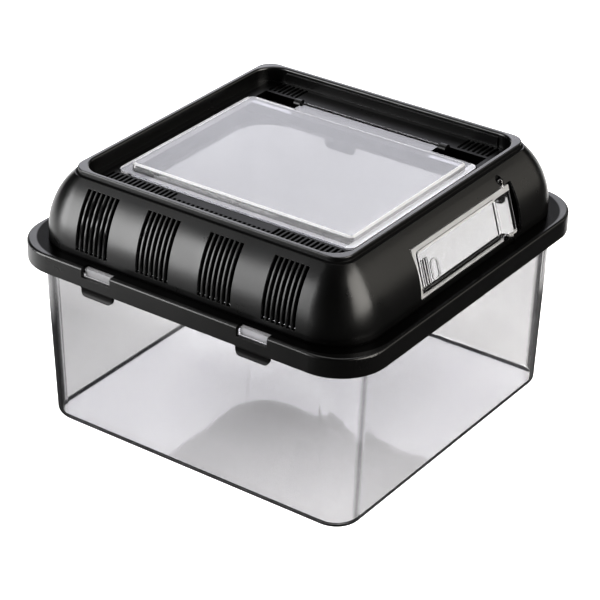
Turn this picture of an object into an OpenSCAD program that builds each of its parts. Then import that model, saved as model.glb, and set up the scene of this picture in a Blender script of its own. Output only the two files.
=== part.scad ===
// Square plastic pet keeper: a clear tapered tank, a black domed lid with louvred and
// combed vents, a clear hinged top hatch and a clear pivoting side door.
// Millimetres, +Z up, front is -Y. Origin: centre of the tank's flat underside.

/* [Body] */
// Outside width and depth over the lid skirt
box_w = 205; // [199:1:211]
// Height from the underside to the top of the lid rim
box_h = 137; // [134:1:140]
// Height of the skirt's lower edge
skirt_z = 89.7; // [86:0.1:92]
// Height of the skirt band
skirt_h = 10; // [9:0.5:11]
// Plan corner radius of the skirt
skirt_r = 25; // [22:1:28]

/* [Tank] */
// Wall thickness of the tank
tank_wall = 2; // [1.6:0.1:2.4]
// How far the tank's foot stands inside the skirt's face
foot_in = 11.5; // [11:0.1:13.5]
// How far each wall leans out from bottom to rim
tank_lean = 3.3; // [2.5:0.1:3.5]
// Plan corner radius of the tank at its underside
tank_r = 13.7; // [12:0.5:16]
// Radius of the bottom edge
tank_edge_r = 4; // [3:0.5:5]
// Width of one catch lug
lug_w = 15.8; // [14:0.2:16]

/* [Dome] */
// Thickness of the lid's walls
lid_t = 2; // [1.8:0.1:2.2]
// Width of the flat ledge between the dome and the skirt face
ledge_w = 7.9; // [7:0.1:9]
// How far the dome leans in from its foot to the rim
dome_in = 16; // [15:0.5:17]
// Plan corner radius of the dome at its foot
dome_r = 23.6; // [21:0.2:26]
// Height of the rim above the sunken top
sunk = 7.5; // [6.5:0.5:8]
// Plan corner radius of the sunken top
sunk_r = 12; // [10:0.5:13]
// Width of the rim's top
rim_w = 2.8; // [2.6:0.1:3.2]
// Rounding of the rim's outer edge
rim_edge = 0.5; // [0.3:0.1:0.6]
// Rounding of the rim's inner edge
rim_roll = 1.2; // [0.8:0.1:1.4]
// Width of the groove just under the rim
groove_w = 2; // [1.4:0.1:2.2]

/* [Louvres] */
// Slots in one louvre panel
vent_n = 7; // [5:1:7]
// Spacing of the slots in a louvre panel
vent_pitch = 2.87; // [2.6:0.01:3]
// Width of a louvre slot
vent_slot = 2; // [1.6:0.1:2.1]
// Depth of the louvre blades behind the dome's outer face
vent_deep = 4.4; // [3:0.2:5]
// Plain wall between the last louvre slot and the dome's corner
vent_end = 6.4; // [5:0.2:8]
// Angle of arc taken by a louvre slot, from the dome's foot upward
vent_angle = 42.5; // [36:0.5:43]

/* [Combs] */
// Short comb slots in the middle of the front comb
comb_short = 21; // [17:2:21]
// Least distance of a comb slot's middle from the side wall of the sunken top
comb_side = 7; // [6.8:0.1:9]
// Slots in each group of the rear comb
comb_rear = 7; // [5:1:7]
// Spacing of the comb slots
comb_pitch = 2.75; // [2.6:0.05:2.75]
// Width of a comb slot
comb_slot = 1.6; // [1.2:0.1:1.7]

/* [Snap tabs] */
// Distance of each snap tab from the middle of its side
tab_x = 46; // [42:0.5:48]
// Width of a snap tab
tab_w = 19.2; // [17:0.2:20]
// How far a snap tab hangs below the skirt
tab_drop = 4.9; // [4:0.1:6]
// Width of the window above a snap tab
window_w = 17.4; // [16.8:0.2:18]

/* [Top hatch] */
// Gap between the hatch and the lid around it
hatch_gap = 0.6; // [0.4:0.1:0.8]
// Thickness of the hatch
hatch_t = 1.6; // [1.4:0.1:1.8]
// How far the middle panel stands above the hatch's flange
panel_rise = 2.5; // [2:0.1:3]
// Rounding of the panel's top edge
panel_edge = 1.4; // [1:0.1:1.4]
// Plan corner radius of the panel
panel_r = 3; // [2.5:0.5:4]
// How far the hatch's flange laps the edge of the opening in the lid
hatch_lap = 1.2; // [1:0.1:1.6]
// Width of the hinge tongue
tongue_w = 83; // [76:1:86]
// Radius of the hatch's hinge pins
hatch_pin_r = 1.3; // [1.1:0.05:1.4]
// Radial running clearance of every hinge pin
pin_clear = 0.05; // [0.03:0.01:0.08]

/* [Side door] */
// Length of the side door, front to back
door_l = 84.8; // [80:0.2:86]
// Height of the side door along its slope
door_h = 24.8; // [24:0.1:25]
// Thickness of the side door
door_t = 1.6; // [1.4:0.1:1.8]
// Lean of the side door away from upright
door_lean = 16.1; // [15.6:0.1:16.6]
// Radius of the door's pivot pins
door_pin_r = 1.2; // [1:0.05:1.3]
// Distance of the pivot line from the door's rear end
door_pivot = 4.5; // [4:0.1:5]

/* [Hidden] */
$fn = 64;
big = 300;

half = box_w / 2;                        // half width over the skirt
ledge_z = skirt_z + skirt_h;             // top of the ledge and the skirt

// dome: a circular arc, upright at its foot, that leans in to the rim
dome_half = half - ledge_w;
dome_cz = ledge_z + 3.3;
rim_out = dome_half - dome_in + 0.7;     // outer face of the rim
rim_h = 2;                               // height of the rim's own section
dome_rise = box_h - rim_h / 2 - dome_cz;
arc_r = (dome_in * dome_in + dome_rise * dome_rise) / (2 * dome_in);
arc_x = dome_half - arc_r;
dome_c = dome_half - dome_r;             // centre of the dome's plan corners

// louvres: two panels each side of the middle, evenly spaced
vent_w = (vent_n - 1) * vent_pitch + vent_slot;
vent_x = dome_c - vent_end - vent_w / 2;

// sunken top
sunk_half = rim_out - rim_w;
sunk_z = box_h - sunk;                   // upper face of the sunken top
sunk_t = 3;                              // its thickness
seat_drop = 1.3;                         // depth of the rebate the hatch lies in
lay_gap = 0.3;                           // gap under the hatch, the door and the lid

// hatch outline: symmetric left to right, set by the combs front and rear
hatch_x = sunk_half - 7.3;               // half width of the flange
hatch_front = -(sunk_half - 19.2);
hatch_rear = sunk_half - 25.2;
panel_x = hatch_x - 3.7;                 // half width of the raised panel
panel_front = hatch_front + 5.8;
panel_rear = hatch_rear - 4.8;
hatch_z = sunk_z - seat_drop + lay_gap;  // underside of the flange
hole_x = hatch_x - hatch_lap;            // half width of the opening in the lid
hole_front = hatch_front + hatch_lap;
trough_front = panel_rear + 0.5;         // front of the trough behind the opening
trough_rear = sunk_half - 15.1;
trough_deep = 5.5;
trough_x = hatch_x - 2.2;
axis_y = trough_rear - 2.4;              // hinge line of the hatch
axis_z = hatch_z + 0.7;
knuckle_r = 1.5;
pin_len = 2.9;
side_play = 0.5;                         // end play of the hatch between its brackets
bracket_t = 4;

// combs
comb_front_y = hatch_front - hatch_gap - 1.3;
comb_end_y = -(sunk_half - 2);
comb_short_y = comb_front_y - 4.7;
comb_rear_y = trough_rear + 2;
comb_mid = (comb_short - 1) / 2;
comb_last = floor((sunk_half - comb_side) / comb_pitch);

// side door, drawn in its own frame: X out of the door, Y to the rear, Z up its slope
door_foot = 3.5;                         // height of the door's lower edge above the ledge
door_x = dome_half - 0.3;
door_z = ledge_z + door_foot;
door_y0 = -36.3;
door_y1 = door_y0 + door_l;
pivot_y = door_y1 - door_pivot;
pivot_x = -door_t / 2;
door_gap = 0.5;
recess_y0 = door_y0 - door_gap - 0.2;
recess_y1 = door_y1 + 3;
door_seat = door_t + door_gap;
door_rest = 3.1;                         // how far the door laps the edge of its opening
way_y1 = pivot_y - 3.5;
clear_y1 = door_y1 + 2;
pin_up = 3.8;                            // length of the upper pivot pin
pin_down = 2.2;                          // length of the lower pivot pin
knob_r = 2.4;                            // pocket round the end of the upper pin

// tank
tank_foot = half - foot_in;              // half width of the tank at its underside
tank_c = tank_foot - tank_r;
rim_top = ledge_z - lid_t - lay_gap;     // top of the tank's rim, just under the ledge
rim_t = 2;
flange_half = half - lid_t - 1;
lug_half = half - lid_t - lay_gap;
lug_top = ledge_z - 0.7;
window_z = ledge_z - 5;
lug_low = window_z + 0.2;
notch_in = 5.1;                          // how far the window runs in across the ledge
tab_set = 0.1;                           // how far the tabs' faces lie behind the skirt's face

// Runs a wall section round a rectangular plan: a quarter turn about each corner
// centre (cx, cy) and a straight run between them. The section is drawn as
// (distance out from the corner centre, height).
module swept(cx, cy) {
    for (i = [0:3]) {
        p = i % 2 == 0 ? cx : cy;
        q = i % 2 == 0 ? cy : cx;
        rotate(90 * i) translate([p, q, 0]) {
            rotate_extrude(angle = 90) children();
            rotate([90, 0, 0]) linear_extrude(2 * q) children();
        }
    }
}

// Flat square plate with rounded plan corners, between two heights.
module plate(h, r, z0, z1) {
    c = h - r;
    swept(c, c) translate([0, z0]) square([r, z1 - z0]);
    translate([-c, -c, z0]) cube([2 * c, 2 * c, z1 - z0]);
}

// Rectangle with rounded corners.
module rounded(x0, y0, x1, y1, r) {
    translate([x0 + r, y0]) square([x1 - x0 - 2 * r, y1 - y0]);
    translate([x0, y0 + r]) square([x1 - x0, y1 - y0 - 2 * r]);
    for (x = [x0 + r, x1 - r], y = [y0 + r, y1 - r]) translate([x, y]) circle(r, $fn = 32);
}

// Copies its child to the front and, turned half round, to the rear.
module front_and_rear() {
    children();
    rotate(180) children();
}

// ---------------------------------------------------------------- tank

// Section from the plan corner's centre: floor, bottom edge quarter, leaning wall.
module tank_section() {
    r = tank_edge_r;
    top = tank_r + tank_lean;
    translate([tank_r - r, r]) intersection() {
        difference() {
            circle(r, $fn = 48);
            circle(r - tank_wall, $fn = 48);
        }
        translate([0, -r]) square(r);
    }
    polygon([
        [tank_r - tank_wall, r], [tank_r, r],
        [top, rim_top], [top - tank_wall, rim_top]
    ]);
    square([tank_r - r, tank_wall]);
}

module tank_lug() {
    deep = lug_half - (half - notch_in + 0.5);
    translate([-lug_w / 2, -lug_half, lug_low]) cube([lug_w, deep, lug_top - lug_low]);
}

module tank() {
    top = tank_foot + tank_lean;
    color([0.86, 0.87, 0.9, 0.35]) {
        swept(tank_c, tank_c) tank_section();
        translate([-tank_c, -tank_c, 0]) cube([2 * tank_c, 2 * tank_c, tank_wall]);
        difference() {
            plate(flange_half, skirt_r - 3, rim_top - rim_t, rim_top);
            plate(top - tank_wall / 2, top - tank_wall / 2 - tank_c, rim_top - 2 * rim_t, big);
        }
        front_and_rear() for (x = [-tab_x, tab_x]) translate([x, 0, 0]) tank_lug();
    }
}

// ---------------------------------------------------------------- lid

// Section of the dome wall: upright foot, arc and the shallow groove under the rim.
module dome_section() {
    deep = 0.6;
    r = (groove_w * groove_w / 4 + deep * deep) / (2 * deep);
    translate([arc_x, dome_cz]) difference() {
        intersection() {
            circle(arc_r, $fn = 96);
            translate([rim_out - arc_x - 1.8, 0]) square(arc_r);
        }
        circle(arc_r - lid_t, $fn = 96);
        rotate(acos((rim_out - arc_x) / arc_r) - asin(groove_w / 2 / arc_r))
            translate([arc_r + r - deep, 0]) circle(r, $fn = 32);
    }
    translate([dome_half - lid_t, ledge_z - lid_t])
        square([lid_t, dome_cz - ledge_z + lid_t]);
}

// Section of the ledge and skirt from the plan corner's centre, top edge rounded off.
module skirt_section() {
    r = 1.2;
    translate([skirt_r - lid_t, skirt_z]) square([lid_t, skirt_h - r]);
    translate([0, ledge_z - lid_t]) square([skirt_r - r, lid_t]);
    translate([skirt_r - r, ledge_z - r]) circle(r, $fn = 32);
}

// Ledge and skirt, open in the middle up to the dome's inner face.
module skirt_ring() {
    inner = dome_half - lid_t / 2;
    c = half - skirt_r;
    difference() {
        swept(c, c) skirt_section();
        plate(inner, inner - dome_c, ledge_z - 2 * lid_t, ledge_z + 1);
    }
}

// Top of the rim: flat, its outer edge just broken and its inner edge rolled over.
module rim_top() {
    c = sunk_half - sunk_r;
    edge = rim_out - rim_edge;
    difference() {
        union() {
            plate(rim_out, rim_out - dome_c, box_h - rim_h, box_h - rim_edge);
            plate(edge, edge - dome_c, box_h - rim_h, box_h);
            swept(dome_c, dome_c) translate([edge - dome_c, box_h - rim_edge])
                circle(rim_edge, $fn = 24);
        }
        plate(sunk_half + rim_roll, sunk_r + rim_roll, 0, big);
    }
    swept(c, c) translate([sunk_r + rim_roll, box_h - rim_roll]) intersection() {
        circle(rim_roll, $fn = 32);
        translate([-rim_roll, 0]) square(2 * rim_roll);
    }
}

// Wall and floor of the sunken top.
module sunken_top() {
    outer = sunk_half + lid_t;
    difference() {
        union() {
            plate(outer, sunk_r + lid_t, sunk_z - sunk_t, box_h - rim_roll);
            translate([-trough_x - lid_t, trough_front, sunk_z - trough_deep - lid_t])
                cube([2 * (trough_x + lid_t), trough_rear + lid_t - trough_front, trough_deep]);
        }
        plate(sunk_half, sunk_r, sunk_z, big);
        translate([-hole_x, hole_front, 0]) cube([2 * hole_x, trough_front - hole_front, big]);
        translate([-trough_x, trough_front + lid_t, sunk_z - trough_deep])
            cube([2 * trough_x, trough_rear - trough_front - lid_t, big]);
        hatch_rebate();
    }
    rear_strip();
    for (s = [-1, 1]) hatch_bracket(s);
}

// Low strip along the rear wall of the sunken top, between its corners.
module rear_strip() {
    w = sunk_half - sunk_r;
    translate([-w, sunk_half - 0.7, sunk_z - 1])
        cube([2 * w, 1, sunk - 1.4]);
}

// Shallow rebate the hatch's flange lies in.
module hatch_rebate() {
    translate([0, 0, sunk_z - seat_drop]) linear_extrude(big)
        rounded(-hatch_x - hatch_gap, hatch_front - hatch_gap,
                hatch_x + hatch_gap, hatch_rear + hatch_gap, 5);
}

// Bracket that carries one of the hatch's hinge pins in a blind socket.
module hatch_bracket(s) {
    x0 = tongue_w / 2 + side_play;
    low = sunk_z - trough_deep - 0.5;
    socket = pin_len - side_play + 0.6;
    translate([s > 0 ? x0 : -x0 - bracket_t, 0, 0]) difference() {
        union() {
            translate([0, axis_y - 2.5, low]) cube([bracket_t, 5.3, axis_z - low]);
            translate([0, axis_y, axis_z]) rotate([0, 90, 0]) cylinder(r = 2.5, h = bracket_t);
        }
        translate([s > 0 ? -1 : bracket_t - socket, axis_y, axis_z]) rotate([0, 90, 0])
            cylinder(r = hatch_pin_r + pin_clear, h = socket + 1);
    }
}

// Slice of the front dome wall, w wide about the middle, from radius r0 out to r1.
module dome_slice(w, r0, r1, angle) {
    translate([w / 2, -arc_x, dome_cz]) rotate([90, 0, -90])
        rotate_extrude(angle = angle, $fn = 96)
            translate([r0, 0]) square([r1 - r0, w]);
}

// Copies its child to the middle of each louvre panel.
module at_panels() {
    for (i = [-3:2:3]) translate([i * vent_x / 3, 0, 0]) children();
}

// Blades behind the louvre panels: the wall is thickened inwards where it is slotted.
module louvre_blades() {
    at_panels() dome_slice(vent_w + 2, arc_r - vent_deep, arc_r - lid_t / 2, vent_angle + 2);
}

module louvres() {
    at_panels() for (i = [0:vent_n - 1])
        translate([(i - (vent_n - 1) / 2) * vent_pitch, 0, 0])
            dome_slice(vent_slot, arc_r - vent_deep - 1, arc_r + 1, vent_angle);
}

// One comb slot through the sunken top, from y0 back to y1.
module comb_cut(i, y0, y1) {
    translate([i * comb_pitch - comb_slot / 2, y0, sunk_z - sunk_t - 1])
        cube([comb_slot, y1 - y0, sunk_t + 2]);
}

module combs() {
    for (i = [-comb_mid:comb_mid]) comb_cut(i, comb_end_y, comb_short_y);
    for (s = [-1, 1], i = [comb_mid + 1:comb_last]) comb_cut(s * i, comb_end_y, comb_front_y);
    for (s = [-1, 1], i = [0:comb_rear - 1])
        comb_cut(s * (comb_last - 1 - i), comb_rear_y, -comb_end_y);
}

// Window above a snap tab, cut through the skirt and in across the ledge.
module tab_window() {
    translate([-window_w / 2, -half - 1, window_z]) cube([window_w, notch_in + 1, big]);
}

// Snap tab: hangs below the skirt, scooped for a finger, lower corners rounded.
module snap_tab() {
    r = 2.8;
    scoop = 5;
    deep = 0.6;
    z0 = skirt_z - tab_drop;
    difference() {
        translate([0, -half + lid_t, 0]) rotate([90, 0, 0]) linear_extrude(lid_t - tab_set)
            rounded(-tab_w / 2, z0, tab_w / 2, window_z - 0.6, r);
        translate([-tab_w, -half + tab_set - scoop + deep, z0 + tab_drop / 2 + 0.3])
            rotate([0, 90, 0]) cylinder(r = scoop, h = 2 * tab_w);
    }
}

// Frame let into the right side for the door, kept inside the dome's outer face.
module door_frame() {
    intersection() {
        in_door_frame() translate([-4.3, recess_y0 - 2, -2.6])
            cube([4.3, recess_y1 - recess_y0 + 4, door_h + 6.8]);
        dome_block();
    }
}

// Solid block of the right side's section, just inside the dome's outer face.
module dome_block() {
    r = arc_r - 0.5;
    translate([0, dome_c, 0]) rotate([90, 0, 0]) linear_extrude(2 * dome_c) {
        translate([arc_x, dome_cz]) intersection() {
            circle(r, $fn = 96);
            square(r);
        }
        translate([arc_x, ledge_z - lid_t / 2]) square([r, dome_cz - ledge_z + lid_t / 2]);
    }
}

module in_door_frame() {
    translate([door_x, 0, door_z]) rotate([0, -door_lean, 0]) children();
}

// Everything the door needs cut away: its recess, the opening behind it,
// room for its rear end to swing in, and the two pivot sockets.
module door_cut() {
    in_door_frame() {
        translate([-door_seat, recess_y0, -door_gap])
            cube([20, recess_y1 - recess_y0, door_h + 2 * door_gap]);
        translate([-20, door_y0 + door_rest, door_rest - 0.6])
            cube([40, way_y1 - door_y0 - door_rest, door_h - 2 * door_rest + 1.2]);
        translate([-20, way_y1 - 1, -door_gap])
            cube([40, clear_y1 - way_y1 + 1, door_h + 2 * door_gap]);
        translate([pivot_x, pivot_y, -door_gap - pin_down - 0.4])
            cylinder(r = door_pin_r + pin_clear, h = door_h + pin_down + pin_up + 1.6, $fn = 32);
        translate([-3.3, pivot_y, door_h + pin_up - 0.4]) rotate([0, 90, 0])
            cylinder(r = knob_r, h = 10, $fn = 32);
    }
}

module lid() {
    color([0.09, 0.09, 0.1]) difference() {
        union() {
            swept(dome_c, dome_c) translate([-dome_c, 0]) dome_section();
            skirt_ring();
            sunken_top();
            rim_top();
            door_frame();
            front_and_rear() {
                louvre_blades();
                for (x = [-tab_x, tab_x]) translate([x, 0, 0]) snap_tab();
            }
        }
        front_and_rear() {
            louvres();
            for (x = [-tab_x, tab_x]) translate([x, 0, 0]) tab_window();
        }
        combs();
        door_cut();
    }
}

// ---------------------------------------------------------------- top hatch

module top_hatch() {
    color([0.88, 0.88, 0.92, 0.35]) {
        difference() {
            translate([0, 0, hatch_z]) linear_extrude(hatch_t)
                rounded(-hatch_x, hatch_front, hatch_x, hatch_rear, 4.4);
            translate([-panel_x + 1, panel_front + 1, 0])
                cube([2 * panel_x - 2, panel_rear - panel_front - 2, big]);
        }
        hatch_panel();
        hatch_tongue();
    }
}

// Raised middle panel: rounded top edge, walls down to the flange.
module hatch_panel() {
    r = panel_r;
    cx = panel_x - r;
    cy = (panel_rear - panel_front) / 2 - r;
    top = hatch_z + hatch_t + panel_rise;
    translate([0, (panel_front + panel_rear) / 2, 0]) {
        swept(cx, cy) {
            translate([r - hatch_t, hatch_z]) square([hatch_t, top - panel_edge - hatch_z]);
            translate([r - panel_edge, top - panel_edge]) intersection() {
                circle(panel_edge, $fn = 32);
                translate([-1, 0]) square(panel_edge + 1);
            }
            translate([0, top - hatch_t]) square([r - panel_edge, hatch_t]);
        }
        translate([-cx, -cy, top - hatch_t]) cube([2 * cx, 2 * cy, hatch_t]);
    }
}

// Tongue at the hatch's rear edge, its hinge knuckle and the two pins.
module hatch_tongue() {
    translate([-tongue_w / 2, hatch_rear - 1, hatch_z])
        cube([tongue_w, axis_y - hatch_rear + 1, hatch_t]);
    translate([-tongue_w / 2, axis_y, axis_z]) rotate([0, 90, 0])
        cylinder(r = knuckle_r, h = tongue_w, $fn = 32);
    translate([-tongue_w / 2 - pin_len, axis_y, axis_z]) rotate([0, 90, 0])
        cylinder(r = hatch_pin_r, h = tongue_w + 2 * pin_len, $fn = 32);
}

// ---------------------------------------------------------------- side door

// Flat plate in the door's frame, from x0 out to x1.
module door_plate(x0, x1, y0, z0, y1, z1, r) {
    translate([x0, 0, 0]) rotate([90, 0, 90]) linear_extrude(x1 - x0)
        rounded(y0, z0, y1, z1, r);
}

// D-shaped thumb rest, drawn as a low wall round a D.
module thumb_rest(y, z) {
    w = 6.2;
    h = 10.5;
    translate([-0.2, y, z]) rotate([90, 0, 90]) linear_extrude(1.5) difference() {
        rounded(0, 0, w, h, 2.4);
        rounded(0.9, 0.9, w - 0.9, h - 0.9, 1.5);
    }
}

module side_door() {
    rise = 0.8;
    py0 = door_y0 + 2.7;
    py1 = door_y1 - 14.1;
    color([0.9, 0.9, 0.92, 0.35]) in_door_frame() {
        difference() {
            union() {
                door_plate(-door_t, 0, door_y0, 0, door_y1, door_h, 0.8);
                door_plate(-0.4, rise, py0, 2.2, py1, door_h - 2.3, 2);
            }
            door_plate(-door_t - 1, rise - door_t, py0 + 1, 3.2, py1 - 1, door_h - 3.3, 1.4);
            translate([-5, py1 + 4.4, -0.6]) rotate([0, 90, 0]) cylinder(r = 3, h = 10, $fn = 32);
        }
        for (i = [0:2]) translate([0, py0 + 1 + i * 1.9, 4.5]) cube([rise + 0.8, 0.9, 13.5]);
        thumb_rest(py0 + 7.6, 4.8);
        translate([pivot_x, pivot_y, -pin_down])
            cylinder(r = door_pin_r, h = pin_down + 1, $fn = 32);
        translate([pivot_x, pivot_y, door_h - 1])
            cylinder(r = door_pin_r, h = pin_up + 1, $fn = 32);
    }
}

tank();
lid();
top_hatch();
side_door();
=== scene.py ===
"""Looks of a clear square pet keeper with a black domed lid, a clear top hatch and a
clear side door. Metres, +Z up, the front with the catch tabs is -Y."""
import math

import bpy
from mathutils import Matrix, Vector


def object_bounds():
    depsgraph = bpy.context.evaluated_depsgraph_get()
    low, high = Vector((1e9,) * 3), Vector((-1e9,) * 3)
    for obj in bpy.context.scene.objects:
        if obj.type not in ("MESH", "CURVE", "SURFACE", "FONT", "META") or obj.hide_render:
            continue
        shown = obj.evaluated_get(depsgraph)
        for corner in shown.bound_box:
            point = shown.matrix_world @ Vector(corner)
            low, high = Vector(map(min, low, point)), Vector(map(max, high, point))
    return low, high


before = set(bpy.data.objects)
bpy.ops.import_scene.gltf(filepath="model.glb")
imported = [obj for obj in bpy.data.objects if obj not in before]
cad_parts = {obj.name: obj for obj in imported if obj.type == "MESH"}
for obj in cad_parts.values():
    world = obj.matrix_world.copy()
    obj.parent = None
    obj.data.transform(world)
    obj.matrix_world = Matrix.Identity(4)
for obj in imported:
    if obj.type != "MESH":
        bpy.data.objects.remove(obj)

cad_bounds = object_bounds()
scene = bpy.context.scene
scene.view_settings.view_transform = "Standard"
scene.view_settings.gamma = 0.82       # deepens the shadows


# ---------------------------------------------------------------- camera

CAMERA_PLACE = (0.59532, -0.84032, 0.63270)
CAMERA_TURN = math.radians(36.98)      # from straight in front, towards the right
CAMERA_TILT = math.radians(29.21)      # looking down
CAMERA_LENS = 141.26
CAMERA_SHIFT = (0.09975, -0.00623)


def make_camera():
    turn, tilt = CAMERA_TURN, CAMERA_TILT
    back = Vector((
        math.sin(turn) * math.cos(tilt),
        -math.cos(turn) * math.cos(tilt),
        math.sin(tilt),
    ))
    right = Vector((math.cos(turn), math.sin(turn), 0))
    up = back.cross(right)
    data = bpy.data.cameras.new("camera")
    data.sensor_width = 36
    data.lens = CAMERA_LENS
    data.shift_x, data.shift_y = CAMERA_SHIFT
    data.clip_start = 0.01
    camera = bpy.data.objects.new("camera", data)
    scene.collection.objects.link(camera)
    turned = Matrix((right, up, back)).transposed().to_4x4()
    camera.matrix_world = Matrix.Translation(CAMERA_PLACE) @ turned
    scene.camera = camera


# ---------------------------------------------------------------- node helpers

def new_material(name):
    material = bpy.data.materials.new(name)
    material.use_nodes = True
    tree = material.node_tree
    return material, tree, tree.nodes["Principled BSDF"]


def mix_shaders(tree, factor, first, second, out):
    """Sends a mix of two shaders to the output node."""
    mix = tree.nodes.new("ShaderNodeMixShader")
    tree.links.new(factor, mix.inputs["Fac"])
    tree.links.new(first, mix.inputs[1])
    tree.links.new(second, mix.inputs[2])
    tree.links.new(mix.outputs[0], out.inputs["Surface"])


def mix_colours(tree, factor, first, second):
    """A mix of two colours, each a triple or a socket."""
    mix = tree.nodes.new("ShaderNodeMix")
    mix.data_type = "RGBA"
    tree.links.new(factor, mix.inputs["Factor"])
    for socket, colour in ((mix.inputs["A"], first), (mix.inputs["B"], second)):
        if isinstance(colour, tuple):
            socket.default_value = (*colour, 1)
        else:
            tree.links.new(colour, socket)
    return mix.outputs["Result"]


def own_place(tree):
    """The piece's own X, Y and Z in metres."""
    split = tree.nodes.new("ShaderNodeSeparateXYZ")
    tree.links.new(tree.nodes.new("ShaderNodeTexCoord").outputs["Object"], split.inputs[0])
    return tuple(split.outputs)


def noise(tree, scale, detail, stretch=(1, 1, 1)):
    """Noise over the piece's own coordinates; scale is per metre."""
    place = tree.nodes.new("ShaderNodeTexCoord")
    mapping = tree.nodes.new("ShaderNodeMapping")
    mapping.inputs["Scale"].default_value = stretch
    texture = tree.nodes.new("ShaderNodeTexNoise")
    texture.inputs["Scale"].default_value = scale
    texture.inputs["Detail"].default_value = detail
    tree.links.new(place.outputs["Object"], mapping.inputs["Vector"])
    tree.links.new(mapping.outputs["Vector"], texture.inputs["Vector"])
    return texture.outputs["Fac"]


def ranged(tree, value, low, high, start=0.3, end=0.7):
    """A value between low and high, from one that runs from start to end, as noise does."""
    node = tree.nodes.new("ShaderNodeMapRange")
    for name, number in (("From Min", start), ("From Max", end), ("To Min", low), ("To Max", high)):
        node.inputs[name].default_value = number
    tree.links.new(value, node.inputs["Value"])
    return node.outputs["Result"]


def rising(tree, value, band, most=1):
    """Nothing before a band of two places, and the most after it."""
    return ranged(tree, value, 0, most, *band)


def falling(tree, value, band, most=1):
    """The most before a band of two places, and nothing after it."""
    return ranged(tree, value, most, 0, *band)


def math_node(tree, operation, first, second=0.0):
    """One step of arithmetic on two numbers or sockets."""
    node = tree.nodes.new("ShaderNodeMath")
    node.operation = operation
    for socket, value in zip(node.inputs, (first, second)):
        if isinstance(value, (int, float)):
            socket.default_value = value
        else:
            tree.links.new(value, socket)
    return node.outputs[0]


def magnitude(tree, value):
    return math_node(tree, "ABSOLUTE", value)


def less(tree, value, part):
    """What is left of the value without a part."""
    return math_node(tree, "SUBTRACT", value, part)


def past(tree, value, limit):
    """One where the value is over a limit, and nothing elsewhere."""
    return math_node(tree, "GREATER_THAN", value, limit)


def short_of(tree, value, limit):
    """One where the value is under a limit, and nothing elsewhere."""
    return math_node(tree, "LESS_THAN", value, limit)


def greatest(tree, first, *others):
    for other in others:
        first = math_node(tree, "MAXIMUM", first, other)
    return first


def product(tree, first, *others):
    for other in others:
        first = math_node(tree, "MULTIPLY", first, other)
    return first


def hypot(tree, first, second):
    squares = (math_node(tree, "POWER", value, 2) for value in (first, second))
    return math_node(tree, "SQRT", math_node(tree, "ADD", *squares))


def bump(tree, height, depth, below=None):
    """A bump of a real depth in metres."""
    node = tree.nodes.new("ShaderNodeBump")
    node.inputs["Strength"].default_value = 1.0
    node.inputs["Distance"].default_value = depth
    tree.links.new(height, node.inputs["Height"])
    if below is not None:
        tree.links.new(below, node.inputs["Normal"])
    return node.outputs["Normal"]


# ---------------------------------------------------------------- light and room

WARM = (1.0, 0.97, 0.92)
WARMER = (1.0, 0.96, 0.88)
COOL = (0.94, 0.94, 1.0)
WHITE = (1, 1, 1)
KEEPER_MIDDLE = Vector((0, 0, 0.09))

# name, direction from the keeper, distance, width, height, power, colour
SOFTBOXES = (
    ("front_left_light", (-0.64, -0.74, 0.165), 0.95, 0.52, 0.66, 13.4, WHITE),
    ("upper_left_light", (-0.53, -0.53, 0.664), 0.69, 0.30, 0.25, 0.36, WHITE),
    ("right_light", (0.90, 0.07, 0.37), 1.3, 0.95, 1.15, 29.0, WARM),
    ("upper_right_light", (0.70, 0.42, 0.58), 1.3, 0.3, 0.3, 1.0, WARM),
    ("right_rear_light", (0.64, 0.70, 0.25), 1.4, 0.8, 0.8, 2.7, WARMER),
    ("rear_left_light", (-0.525, 0.697, 0.488), 1.6, 0.90, 0.70, 6.9, COOL),
    ("backdrop_light", (-0.60, 0.78, 0.10), 1.7, 2.2, 0.5, 11.0, WHITE),
    ("top_light", (-0.16, 0.16, 0.95), 2.6, 1.9, 1.9, 34, WHITE),
)

FLOOR_HALF = 3.0
FLOOR_Z = -0.0003
# Bands of the floor over which the painted dark reflections and the painted shade come in or
# end. Where a name has no X or Y, the band is a distance from the keeper's middle.
RIGHT_DARK_REFLECTION_X = (0.095, 0.125)
FRONT_DARK_REFLECTION_X, FRONT_DARK_REFLECTION_Y = (-0.20, 0.0), (-0.22, -0.12)
NEAR_DARK_REFLECTION_INSIDE, NEAR_DARK_REFLECTION_OUTSIDE = (0.080, 0.086), (0.17, 0.21)
LEFT_PAINTED_SHADE_X = (-0.15, 0.10)
MIDDLE_PAINTED_SHADE = (0.02, 0.125)


def softbox(name, direction, distance, width, height, power, colour):
    """A rectangular soft light that faces the keeper's middle from a direction."""
    data = bpy.data.lights.new(name, "AREA")
    data.shape = "RECTANGLE"
    data.size, data.size_y = width, height
    data.energy = power
    data.color = colour
    lamp = bpy.data.objects.new(name, data)
    scene.collection.objects.link(lamp)
    aim = Vector(direction).normalized()
    lamp.location = KEEPER_MIDDLE + aim * distance
    lamp.rotation_euler = aim.to_track_quat("Z", "Y").to_euler()
    lamp.visible_camera = False


def make_world():
    """A white room to the eye, also through clear plastic, that itself gives hardly any light."""
    world = bpy.data.worlds.new("studio")
    scene.world = world
    world.use_nodes = True
    tree = world.node_tree
    tree.nodes.clear()
    out = tree.nodes.new("ShaderNodeOutputWorld")
    room = tree.nodes.new("ShaderNodeBackground")
    room.inputs["Color"].default_value = (0.85, 0.87, 0.9, 1)
    room.inputs["Strength"].default_value = 0.01
    sweep = tree.nodes.new("ShaderNodeBackground")
    sweep.inputs["Color"].default_value = (1, 1, 1, 1)
    sweep.inputs["Strength"].default_value = 1.0
    path = tree.nodes.new("ShaderNodeLightPath").outputs
    seen = greatest(tree, path["Is Camera Ray"], path["Is Transmission Ray"])
    mix_shaders(tree, seen, room.outputs[0], sweep.outputs[0], out)


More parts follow.
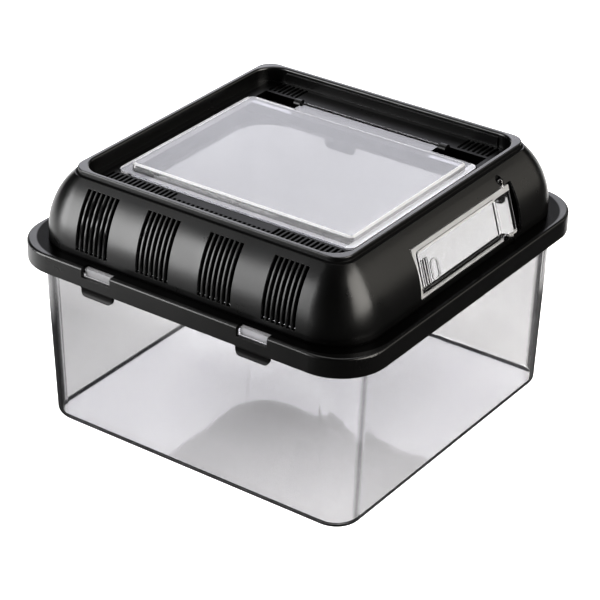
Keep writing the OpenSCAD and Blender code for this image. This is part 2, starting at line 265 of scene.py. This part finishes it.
def floor_shade(tree):
    """How black the floor is painted. Painted dark reflections show only in what a surface mirrors.
    They are black patches to the right, in front and in a ring close round the keeper. Painted
    shade under the tank and to its left shows only through clear plastic."""
    x, y, _ = own_place(tree)
    path = tree.nodes.new("ShaderNodeLightPath").outputs
    # Painted dark reflections: the floor is black here only for mirrored rays.
    right_dark_reflection = rising(tree, x, RIGHT_DARK_REFLECTION_X, 0.96)
    front_dark_reflection = product(
        tree, falling(tree, y, FRONT_DARK_REFLECTION_Y), ranged(tree, x, 0.35, 0.96, *FRONT_DARK_REFLECTION_X))
    away = greatest(tree, magnitude(tree, x), magnitude(tree, y))
    near_dark_reflection = product(tree, rising(tree, away, NEAR_DARK_REFLECTION_INSIDE), falling(tree, away, NEAR_DARK_REFLECTION_OUTSIDE, 0.90))
    mirrored = past(tree, path["Glossy Depth"], 0.5)
    dark_reflections = product(tree, mirrored, greatest(tree, right_dark_reflection, front_dark_reflection, near_dark_reflection))
    # Painted shade under the tank and to its left, seen only through clear plastic.
    left_painted_shade = falling(tree, x, LEFT_PAINTED_SHADE_X, 0.4)
    middle_painted_shade = falling(tree, hypot(tree, x, y), MIDDLE_PAINTED_SHADE, 0.5)
    through_painted_shade = product(tree, path["Is Transmission Ray"], greatest(tree, left_painted_shade, middle_painted_shade))
    return greatest(tree, dark_reflections, through_painted_shade)


def make_floor():
    """A pale floor just under the tank."""
    half = FLOOR_HALF
    corners = [(-half, -half, 0), (half, -half, 0), (half, half, 0), (-half, half, 0)]
    mesh = bpy.data.meshes.new("floor")
    mesh.from_pydata(corners, [], [(0, 1, 2, 3)])
    floor = bpy.data.objects.new("floor", mesh)
    scene.collection.objects.link(floor)
    floor.location.z = FLOOR_Z
    material, tree, shader = new_material("pale_floor")
    shader.inputs["Base Color"].default_value = (0.95, 0.95, 0.95, 1)
    shader.inputs["Roughness"].default_value = 0.9
    shader.inputs["Specular IOR Level"].default_value = 0.0
    shader.inputs["Emission Color"].default_value = (1, 1, 1, 1)
    shader.inputs["Emission Strength"].default_value = 0.55
    black = tree.nodes.new("ShaderNodeBsdfDiffuse")
    black.inputs["Color"].default_value = (0, 0, 0, 1)
    out = tree.nodes["Material Output"]
    mix_shaders(tree, floor_shade(tree), shader.outputs[0], black.outputs[0], out)
    mesh.materials.append(material)


# ---------------------------------------------------------------- sizes of the keeper

SKIRT_HALF = cad_bounds[1][0]                   # half width over the lid's skirt
RIM_TOP_Z = cad_bounds[1][2]
SKIRT_FOOT_Z, LEDGE_Z = 0.0897, 0.0997

# The dome's section is an arc that leans in over DOME_IN while it rises by DOME_RISE.
DOME_IN, DOME_RISE = 0.016, 0.033
DOME_HALF = SKIRT_HALF - 0.0079
DOME_ARC_R = (DOME_IN ** 2 + DOME_RISE ** 2) / (2 * DOME_IN)
DOME_ARC_OUT = DOME_HALF - DOME_ARC_R           # from the middle to the arc's centre
DOME_ARC_Z = RIM_TOP_Z - 0.001 - DOME_RISE
LID_CORNER = DOME_HALF - 0.0236                 # to the centre of the lid's plan corners
RIM_HALF = DOME_HALF - DOME_IN + 0.0007
SUNKEN_HALF = RIM_HALF - 0.0028
SUNKEN_Z = RIM_TOP_Z - 0.0075

HATCH_HALF = SUNKEN_HALF - 0.0073               # half width of the hatch's flange
HATCH_TOP_Z = 0.1326
PANEL_HALF_X, PANEL_HALF_Y = HATCH_HALF - 0.0037, 0.0490
PANEL_MIDDLE_Y = -0.0025

DOOR_FRONT_Y = -0.0363
DOOR_FOOT_Z, DOOR_HEAD_Z = 0.1032, 0.1270

TANK_FOOT_HALF = SKIRT_HALF - 0.0115
TANK_CORNER = TANK_FOOT_HALF - 0.0137           # to the centre of the tank's plan corners
LUG_HALF, LUG_TOP_Z = SKIRT_HALF - 0.0023, LEDGE_Z - 0.0007


def band(place, start, end):
    """The two places between which a finish comes in or ends, measured from one place."""
    return place + start, place + end


# ---------------------------------------------------------------- the lid's black plastic

# Bands over which the painted shade in the slots and groove, on the ledge, tabs and sunken top, and
# the painted sheen on the rim's crown come in or end.
SLOT_DEPTH = band(DOME_ARC_R, -0.0014, -0.0008)
GROOVE_Z = band(RIM_TOP_Z, -0.0045, -0.0035)
GROOVE_DEPTH = 0.0007                           # how much shallower the groove is than a slot
LEDGE_OUTSIDE = band(SKIRT_HALF, -0.0023, -0.0015)
LEDGE_START_Z, LEDGE_END_Z = band(LEDGE_Z, -0.0007, -0.0005), band(LEDGE_Z, 0.0003, 0.0015)
TABS_END_Z = band(SKIRT_FOOT_Z, -0.0012, -0.0004)
SUNKEN_OUTSIDE = band(SUNKEN_HALF, -0.0040, -0.0030)
SUNKEN_START_Z, SUNKEN_END_Z = band(SUNKEN_Z, -0.0055, -0.0045), band(SUNKEN_Z, 0.0001, 0.0004)
RIM_SHEEN_Z = band(RIM_TOP_Z, -0.0015, -0.0008)


def from_middle(tree, x, y):
    """How far a place lies from the lid's middle, along squares with the lid's round corners."""
    past_x, past_y = (less(tree, magnitude(tree, value), LID_CORNER) for value in (x, y))
    beyond = hypot(tree, greatest(tree, past_x, 0), greatest(tree, past_y, 0))
    within = math_node(tree, "MINIMUM", greatest(tree, past_x, past_y), 0)
    return math_node(tree, "ADD", math_node(tree, "ADD", beyond, within), LID_CORNER)


def slot_and_groove_shade(tree, out, z):
    """Painted shade: one where the dome's wall lies deeper than its outer face, in the slots and in
    the shallower groove under the rim."""
    arc = hypot(tree, less(tree, out, DOME_ARC_OUT), less(tree, z, DOME_ARC_Z))
    deep = falling(tree, less(tree, arc, rising(tree, z, GROOVE_Z, GROOVE_DEPTH)), SLOT_DEPTH)
    return product(
        tree, deep,
        past(tree, out, RIM_HALF - 0.0006),
        past(tree, z, DOME_ARC_Z - 0.0002),
        short_of(tree, z, RIM_TOP_Z - 0.0017))


def painted_shade_places(tree, out, z):
    """Painted shade, as weakened reflections: one on the ledge, and nearly one on the tabs and on the
    sunken top.
    """
    ledge = product(
        tree,
        falling(tree, out, LEDGE_OUTSIDE),
        rising(tree, z, LEDGE_START_Z),
        falling(tree, z, LEDGE_END_Z))
    tabs = falling(tree, z, TABS_END_Z, 0.75)
    sunken_top = product(
        tree,
        falling(tree, out, SUNKEN_OUTSIDE, 0.85),
        rising(tree, z, SUNKEN_START_Z),
        falling(tree, z, SUNKEN_END_Z))
    return greatest(tree, ledge, tabs, sunken_top)


def black_satin_plastic():
    """Black plastic, with painted shade that makes it matt black in the slots and groove and
    weakens its reflections on the ledge, tabs and sunken top, and a painted sheen on the rim.
    """
    material, tree, shader = new_material("black_satin_plastic")
    x, y, z = own_place(tree)
    out = from_middle(tree, x, y)
    slots = slot_and_groove_shade(tree, out, z)
    cloudy = mix_colours(tree, noise(tree, 40, 3), (0.0008, 0.0008, 0.0009), (0.0015, 0.0014, 0.0013))
    # Painted shade: black base colour and full roughness in the slots and the groove.
    tree.links.new(mix_colours(tree, slots, cloudy, (0.0, 0.0, 0.0)), shader.inputs["Base Color"])
    satin = ranged(tree, noise(tree, 60, 3), 0.27, 0.33)
    tree.links.new(greatest(tree, satin, slots), shader.inputs["Roughness"])
    shader.inputs["IOR"].default_value = 1.48
    # Painted shade weakens the reflections in the slots, on the ledge, tabs and sunken top.
    painted_shade = greatest(tree, slots, painted_shade_places(tree, out, z))
    # Painted sheen: stronger reflections on the rim's crown.
    sheen = greatest(tree, ranged(tree, painted_shade, 0.5, 0.03, 0, 1), rising(tree, z, RIM_SHEEN_Z, 0.7))
    tree.links.new(sheen, shader.inputs["Specular IOR Level"])
    rounded = tree.nodes.new("ShaderNodeBevel")
    rounded.samples = 6
    rounded.inputs["Radius"].default_value = 0.00016
    grain = bump(tree, noise(tree, 2600, 1), 0.000012, rounded.outputs["Normal"])
    flow = bump(tree, noise(tree, 22, 1, (1.4, 1.4, 0.4)), 0.0006, grain)
    tree.links.new(flow, shader.inputs["Normal"])
    return material


# ---------------------------------------------------------------- clear plastics

EDGE_ON_SHADE = (0.003, 0.003, 0.004)                   # painted shade where thick plastic is seen edge on

# The hatch's painted highlight
PANEL_ROLL_Z = band(HATCH_TOP_Z, -0.0010, -0.0007)
PANEL_ROLL_INSIDE = (-0.0017, -0.0013)          # from the panel's outline, inwards
RIGHT_WALL_X = band(PANEL_HALF_X, -0.0007, -0.0002)
FLANGE_EDGE = band(HATCH_HALF, -0.0007, -0.0005)

# The side door
BORDER_FRONT_Y = band(DOOR_FRONT_Y, 0.0021, 0.0024)
BORDER_FOOT_Z, BORDER_HEAD_Z = band(DOOR_FOOT_Z, 0.0008, 0.0011), band(DOOR_HEAD_Z, -0.0032, -0.0029)

# The tank: its lugs, and the painted shade in its corners and along its foot
LUG_FRONT, LUG_TOP = band(LUG_HALF, -0.0005, -0.0003), band(LUG_TOP_Z, -0.0012, -0.0008)
CORNER_START, CORNER_START_Z = band(TANK_CORNER, 0.0005, 0.0035), (0.0022, 0.0035)
CORNER_EDGE_ON = (0.32, 0.45)                   # of the facing value, which is one edge on
FOOT_START, FOOT_END_Z = band(TANK_FOOT_HALF, -0.0037, -0.0027), (0.0016, 0.0026)


def hatch_painted_highlight(tree):
    """Painted highlight, in milky white: one on the rolled top edge of the hatch's raised panel and
    on the flange's thin outer edge, and part on the panel's right wall and the flange beside it."""
    x, y, z = own_place(tree)
    width = magnitude(tree, x)
    length = magnitude(tree, less(tree, y, PANEL_MIDDLE_Y))
    out = greatest(tree, less(tree, width, PANEL_HALF_X), less(tree, length, PANEL_HALF_Y))
    rolled = product(tree, rising(tree, out, PANEL_ROLL_INSIDE), rising(tree, z, PANEL_ROLL_Z))
    return greatest(
        tree, rolled,
        rising(tree, width, FLANGE_EDGE),
        rising(tree, x, RIGHT_WALL_X, 0.6))


def door_border(tree):
    """Part milky on the side door's border, which lies on the lid's black frame, but not on
    the two pins above and below the door."""
    _, y, z = own_place(tree)
    border = greatest(
        tree,
        falling(tree, y, BORDER_FRONT_Y, 0.6),
        falling(tree, z, BORDER_FOOT_Z, 0.6),
        rising(tree, z, BORDER_HEAD_Z, 0.6))
    return product(
        tree, border,
        past(tree, z, DOOR_FOOT_Z - 0.0005),
        short_of(tree, z, DOOR_HEAD_Z - 0.0001))


def lug_faces(tree):
    """Part milky on the tank's catch lugs, which are thick blocks of the same plastic."""
    _, y, z = own_place(tree)
    return greatest(
        tree, rising(tree, magnitude(tree, y), LUG_FRONT, 0.7), rising(tree, z, LUG_TOP, 0.7))


def painted_edge_on_shade(tree, facing):
    """Painted shade: one along the tank's foot, and nearly one in its corners where they are seen
    edge on, because the plastic is thick there and would look dark."""
    x, y, z = own_place(tree)
    width, length = magnitude(tree, x), magnitude(tree, y)
    corners = product(
        tree,
        rising(tree, math_node(tree, "MINIMUM", width, length), CORNER_START),
        rising(tree, facing, CORNER_EDGE_ON, 0.975),
        rising(tree, z, CORNER_START_Z))
    foot = product(
        tree,
        falling(tree, z, FOOT_END_Z),
        rising(tree, greatest(tree, width, length), FOOT_START))
    return greatest(tree, corners, foot)


def clear_plastic(name, tint, edge, facing_range, milky, milk, thick=None):
    """Clear moulded plastic with its tint, and a painted tone, darker or lighter, where it is seen
    edge on. It takes the milk colour and is less clear where milky is one, which on the hatch is
    a painted highlight, and it is near black with painted shade where thick is one."""
    material, tree, shader = new_material(name)
    weight = tree.nodes.new("ShaderNodeLayerWeight")
    weight.inputs["Blend"].default_value = 0.5
    facing = weight.outputs["Facing"]
    # Painted tone where the plastic is seen edge on: darker on the tank and door, lighter on the
    # hatch.
    colour = mix_colours(tree, rising(tree, facing, facing_range), tint, edge)
    # Painted shade, near black, where thick is one.
    if thick:
        colour = mix_colours(tree, thick(tree, facing), colour, EDGE_ON_SHADE)
    # Milky places; on the hatch they are a painted highlight.
    haze = milky(tree)
    colour = mix_colours(tree, haze, colour, milk)
    tree.links.new(colour, shader.inputs["Base Color"])
    tree.links.new(ranged(tree, haze, 1.0, 0.15, 0, 1), shader.inputs["Transmission Weight"])
    shader.inputs["IOR"].default_value = 1.5
    tree.links.new(ranged(tree, noise(tree, 30, 3), 0.01, 0.05), shader.inputs["Roughness"])
    tree.links.new(bump(tree, noise(tree, 35, 1), 0.0001), shader.inputs["Normal"])
    # Light from the lamps passes straight through, so clear pieces throw pale shadows.
    through = tree.nodes.new("ShaderNodeBsdfTransparent")
    through.inputs["Color"].default_value = (0.9, 0.9, 0.91, 1)
    shadow = tree.nodes.new("ShaderNodeLightPath").outputs["Is Shadow Ray"]
    out = tree.nodes["Material Output"]
    mix_shaders(tree, shadow, shader.outputs[0], through.outputs[0], out)
    return material


# ---------------------------------------------------------------- the keeper

def finish_node(name, material):
    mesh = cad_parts[name].data
    mesh.materials.clear()
    mesh.materials.append(material)


make_camera()
make_world()
for box in SOFTBOXES:
    softbox(*box)
make_floor()

finish_node("tank", clear_plastic(
    "clear_tank_plastic", tint=(0.73, 0.728, 0.733), edge=(0.10, 0.10, 0.11),
    facing_range=(0.62, 0.80), milky=lug_faces, milk=(0.15, 0.15, 0.16), thick=painted_edge_on_shade))
finish_node("lid", black_satin_plastic())
# The hatch's milk is a painted highlight on its edges and right side.
finish_node("top_hatch", clear_plastic(
    "clear_hatch_plastic", tint=(0.31, 0.31, 0.318), edge=(0.5, 0.5, 0.52),
    facing_range=(0.55, 0.95), milky=hatch_painted_highlight, milk=(0.8, 0.8, 0.82)))
finish_node("side_door", clear_plastic(
    "clear_door_plastic", tint=(0.70, 0.70, 0.70), edge=(0.3, 0.3, 0.31),
    facing_range=(0.50, 0.75), milky=door_border, milk=(0.2, 0.2, 0.2)))
